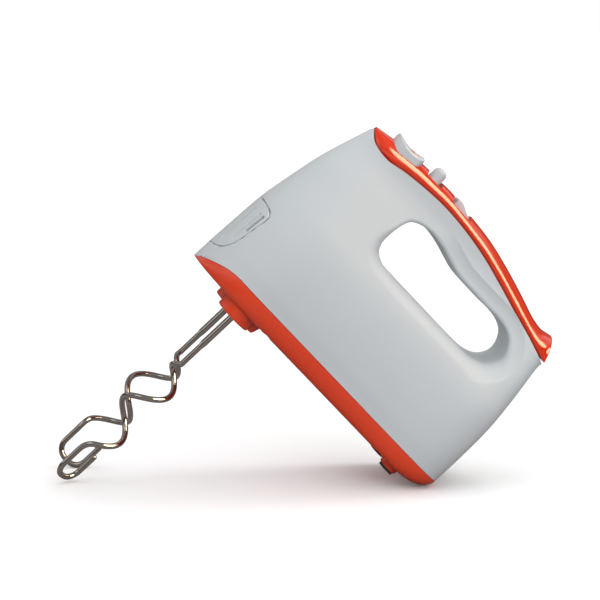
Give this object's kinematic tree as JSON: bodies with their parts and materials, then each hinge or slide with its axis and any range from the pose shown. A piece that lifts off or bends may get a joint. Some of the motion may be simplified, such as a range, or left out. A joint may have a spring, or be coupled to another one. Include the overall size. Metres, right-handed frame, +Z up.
{
  "type": "hand mixer",
  "caption": "Electric hand mixer resting on its dough hooks and heel: white body with a finger opening, orange base and handle covers, eject, speed and turbo controls.",
  "frame": {"origin": "centre of the object's footprint box on the surface that it stands on, as it rests on its hook tips and heel", "axes": "+Z up, +X from nose and hooks towards the heel, +Y from the user's left to right across the width"},
  "size_m": [0.313, 0.0868, 0.2243],
  "materials": {
    "white_shell": "fine satin moulded grain",
    "orange_shell": "glossy moulded",
    "base_shell": "satin to glossy moulded",
    "control": "satin moulded",
    "hook_steel": "polished and plated",
    "screw_steel": "zinc plated",
    "foot_rubber": "matt",
    "gland_rubber": "matt",
    "frame_plastic": "glass-filled moulding",
    "gear_plastic": "moulded acetal",
    "bronze": "sintered",
    "bracket_steel": "pressed and galvanised",
    "laminated_steel": "stamped laminations",
    "enamelled_copper": "enamelled wire",
    "commutator_copper": "turned copper bars",
    "carbon": "pressed graphite",
    "holder_brass": "folded sheet",
    "spring_steel": "drawn wire",
    "board": "glass-epoxy board",
    "switch_plastic": "moulded",
    "shaft_steel": "ground",
    "worm_steel": "rolled",
    "fan_plastic": "moulded",
    "eject_plastic": "moulded acetal"
  },
  "bodies": {
    "body": {"housing_left": "white_shell", "housing_right": "white_shell", "base_cover": "base_shell", "handle_cover": "orange_shell", "nose_grille": "white_shell", "body_screws": "screw_steel", "base_screws": "screw_steel", "rubber_feet": "foot_rubber", "cord_inlet": "gland_rubber", "gearbox_frame": "frame_plastic", "gearbox_cover": "frame_plastic", "spindle_bushes": "bronze", "motor_bracket": "bracket_steel", "motor_screws": "screw_steel", "stator_core": "laminated_steel", "field_coils": "enamelled_copper", "front_bearing": "bronze", "rear_bearing": "bronze", "brush_holders": "holder_brass", "carbon_brushes": "carbon", "brush_springs": "spring_steel", "speed_board": "board", "switch_block": "switch_plastic", "eject_spring": "spring_steel", "turbo_spring": "spring_steel"},
    "rotor": {"motor_shaft": "shaft_steel", "worm": "worm_steel", "armature_core": "laminated_steel", "armature_windings": "enamelled_copper", "commutator": "commutator_copper", "cooling_fan": "fan_plastic"},
    "left_spindle": {"left_gear": "gear_plastic", "left_socket": "shaft_steel"},
    "right_spindle": {"right_gear": "gear_plastic", "right_socket": "shaft_steel"},
    "left_dough_hook": {"left_hook": "hook_steel"},
    "right_dough_hook": {"right_hook": "hook_steel"},
    "eject": {"eject_button": "control", "eject_plate": "eject_plastic"},
    "selector": {"speed_selector": "control"},
    "turbo": {"turbo_button": "control"}
  },
  "joints": [
    {"name": "motor_spin", "type": "hinge", "parent": "body", "child": "rotor", "pos_m": [-0.01247, 0, 0.14163], "axis": [0.7006, 0, -0.7136], "continuous": true},
    {"name": "left_spin", "type": "hinge", "parent": "body", "child": "left_spindle", "pos_m": [-0.04244, -0.022, 0.1122], "axis": [0.7136, 0, 0.7006], "continuous": true},
    {"name": "right_spin", "type": "hinge", "parent": "body", "child": "right_spindle", "pos_m": [-0.04244, 0.022, 0.1122], "axis": [0.7136, 0, 0.7006], "continuous": true},
    {"name": "left_hook_pull", "type": "slide", "parent": "left_spindle", "child": "left_dough_hook", "axis": [-0.7136, 0, -0.7006], "range_m": [0, 0.06]},
    {"name": "right_hook_pull", "type": "slide", "parent": "right_spindle", "child": "right_dough_hook", "axis": [-0.7136, 0, -0.7006], "range_m": [0, 0.06]},
    {"name": "eject_press", "type": "slide", "parent": "body", "child": "eject", "axis": [-0.7136, 0, -0.7006], "range_m": [0, 0.005], "stiffness_N_per_m": 400, "springref_m": -0.005, "deforming": ["eject_spring"]},
    {"name": "speed_slide", "type": "slide", "parent": "body", "child": "selector", "axis": [0, 1, 0], "range_m": [0, 0.009]},
    {"name": "turbo_press", "type": "slide", "parent": "body", "child": "turbo", "axis": [-0.7136, 0, -0.7006], "range_m": [0, 0.0015], "stiffness_N_per_m": 800, "springref_m": -0.002, "deforming": ["turbo_spring"]}
  ],
  "couplings": [
    {"joint": "left_spin", "follows": "motor_spin", "ratio": 0.075},
    {"joint": "right_spin", "follows": "motor_spin", "ratio": -0.075}
  ]
}
